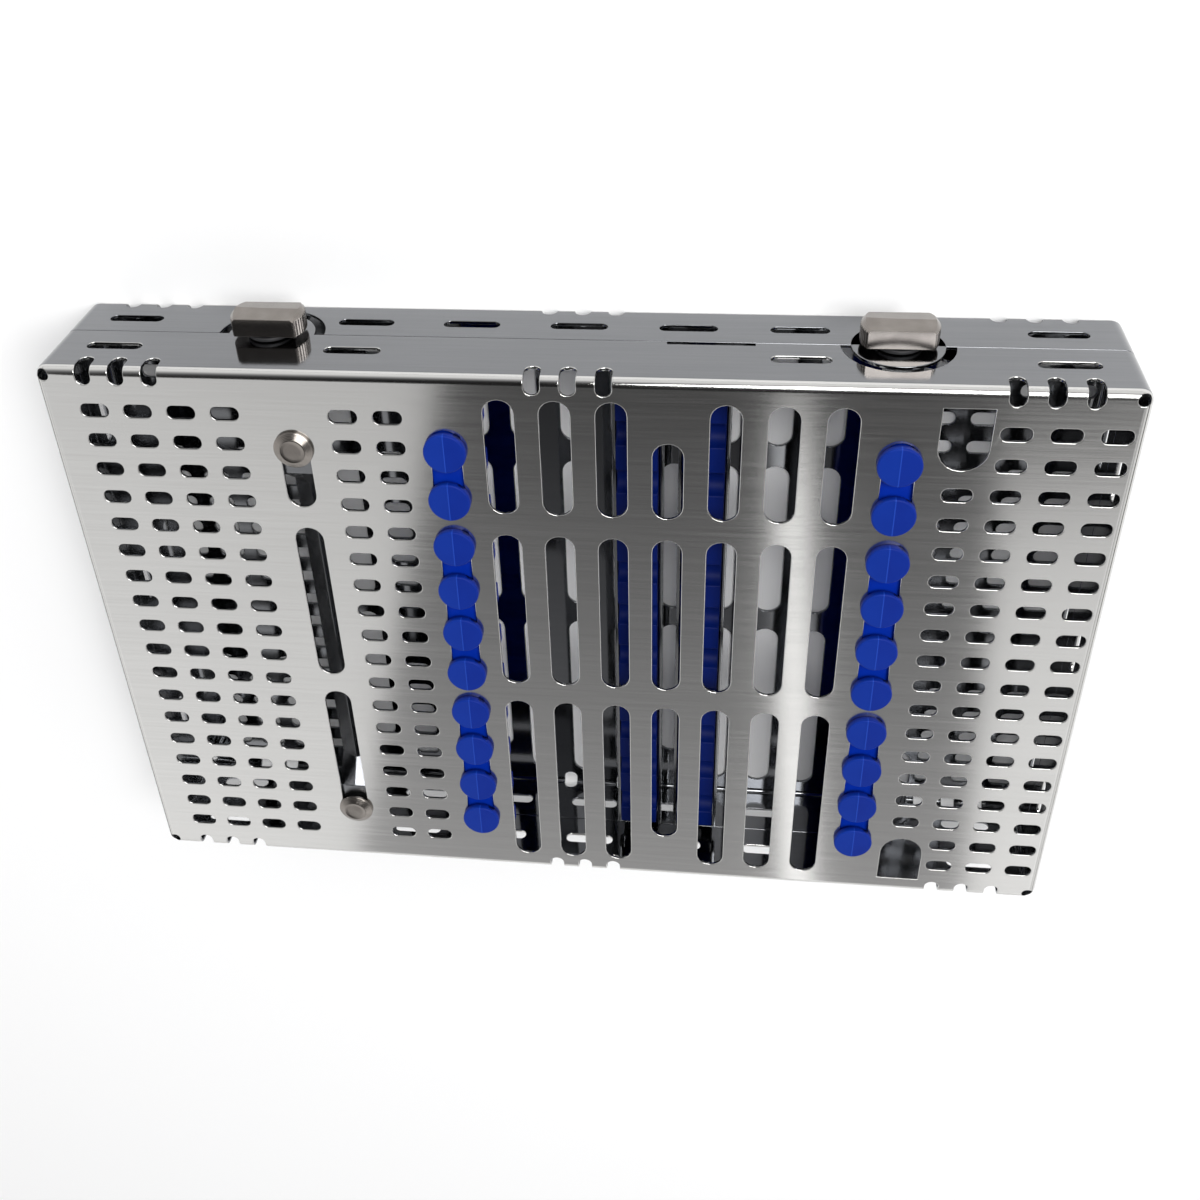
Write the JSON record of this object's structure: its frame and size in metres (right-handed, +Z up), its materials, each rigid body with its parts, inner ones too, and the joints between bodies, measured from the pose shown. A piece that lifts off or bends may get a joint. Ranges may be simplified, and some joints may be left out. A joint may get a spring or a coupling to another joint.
{
  "type": "dental instrument cassette",
  "caption": "Flat perforated steel instrument cassette with a hinged lid, quarter-turn latch knobs and blue silicone rails that hold instruments through washing and sterilizing.",
  "frame": {"origin": "centre of the overall box at its underside, on the plane that the base stands on", "axes": "+Z up through the lid, +Y towards the hinges, -Y towards the latch knobs, X along the cassette's length with the wide plain end of the slot pattern at +X"},
  "size_m": [0.284, 0.193, 0.0432],
  "materials": {
    "brushed_sheet": "satin brushed outside, polished inside",
    "polished_sheet": "mirror polished",
    "turned_steel": "turned and knurled, warm grey",
    "blue_silicone": "moulded, soft sheen",
    "black_polymer": "matt black"
  },
  "bodies": {
    "base": {"base_shell": "brushed_sheet", "rest_channel_1": "polished_sheet", "rest_channel_2": "polished_sheet", "rest_strip_1": "blue_silicone", "rest_strip_2": "blue_silicone", "hinge_leaf_base_1": "brushed_sheet", "hinge_leaf_base_2": "brushed_sheet", "hinge_pin_1": "turned_steel", "hinge_pin_2": "turned_steel", "latch_keeper_base": "brushed_sheet"},
    "lid": {"lid_shell": "brushed_sheet", "grip_rail_1": "blue_silicone", "grip_rail_2": "blue_silicone", "accessory_bar": "polished_sheet", "accessory_rivet_1": "turned_steel", "accessory_rivet_2": "turned_steel", "hinge_leaf_lid_1": "brushed_sheet", "hinge_leaf_lid_2": "brushed_sheet", "latch_keeper_lid": "brushed_sheet"},
    "lid_latch": {"latch_knob_lid": "turned_steel", "latch_washer_lid": "black_polymer", "latch_cam_lid": "brushed_sheet", "latch_screw_lid": "turned_steel"},
    "base_latch": {"latch_knob_base": "turned_steel", "latch_washer_base": "black_polymer", "latch_cam_base": "brushed_sheet", "latch_screw_base": "turned_steel"}
  },
  "joints": [
    {"name": "lid_hinge", "type": "hinge", "parent": "base", "child": "lid", "pos_m": [0, 0.0939, 0.0216], "axis": [-1, 0, 0], "range_deg": [0, 180]},
    {"name": "lid_latch_turn", "type": "hinge", "parent": "lid", "child": "lid_latch", "pos_m": [0.083, -0.09, 0.01885], "axis": [0, 1, 0], "range_deg": [0, 90]},
    {"name": "base_latch_turn", "type": "hinge", "parent": "base", "child": "base_latch", "pos_m": [-0.083, -0.09, 0.01885], "axis": [0, 1, 0], "range_deg": [0, 90]}
  ]
}
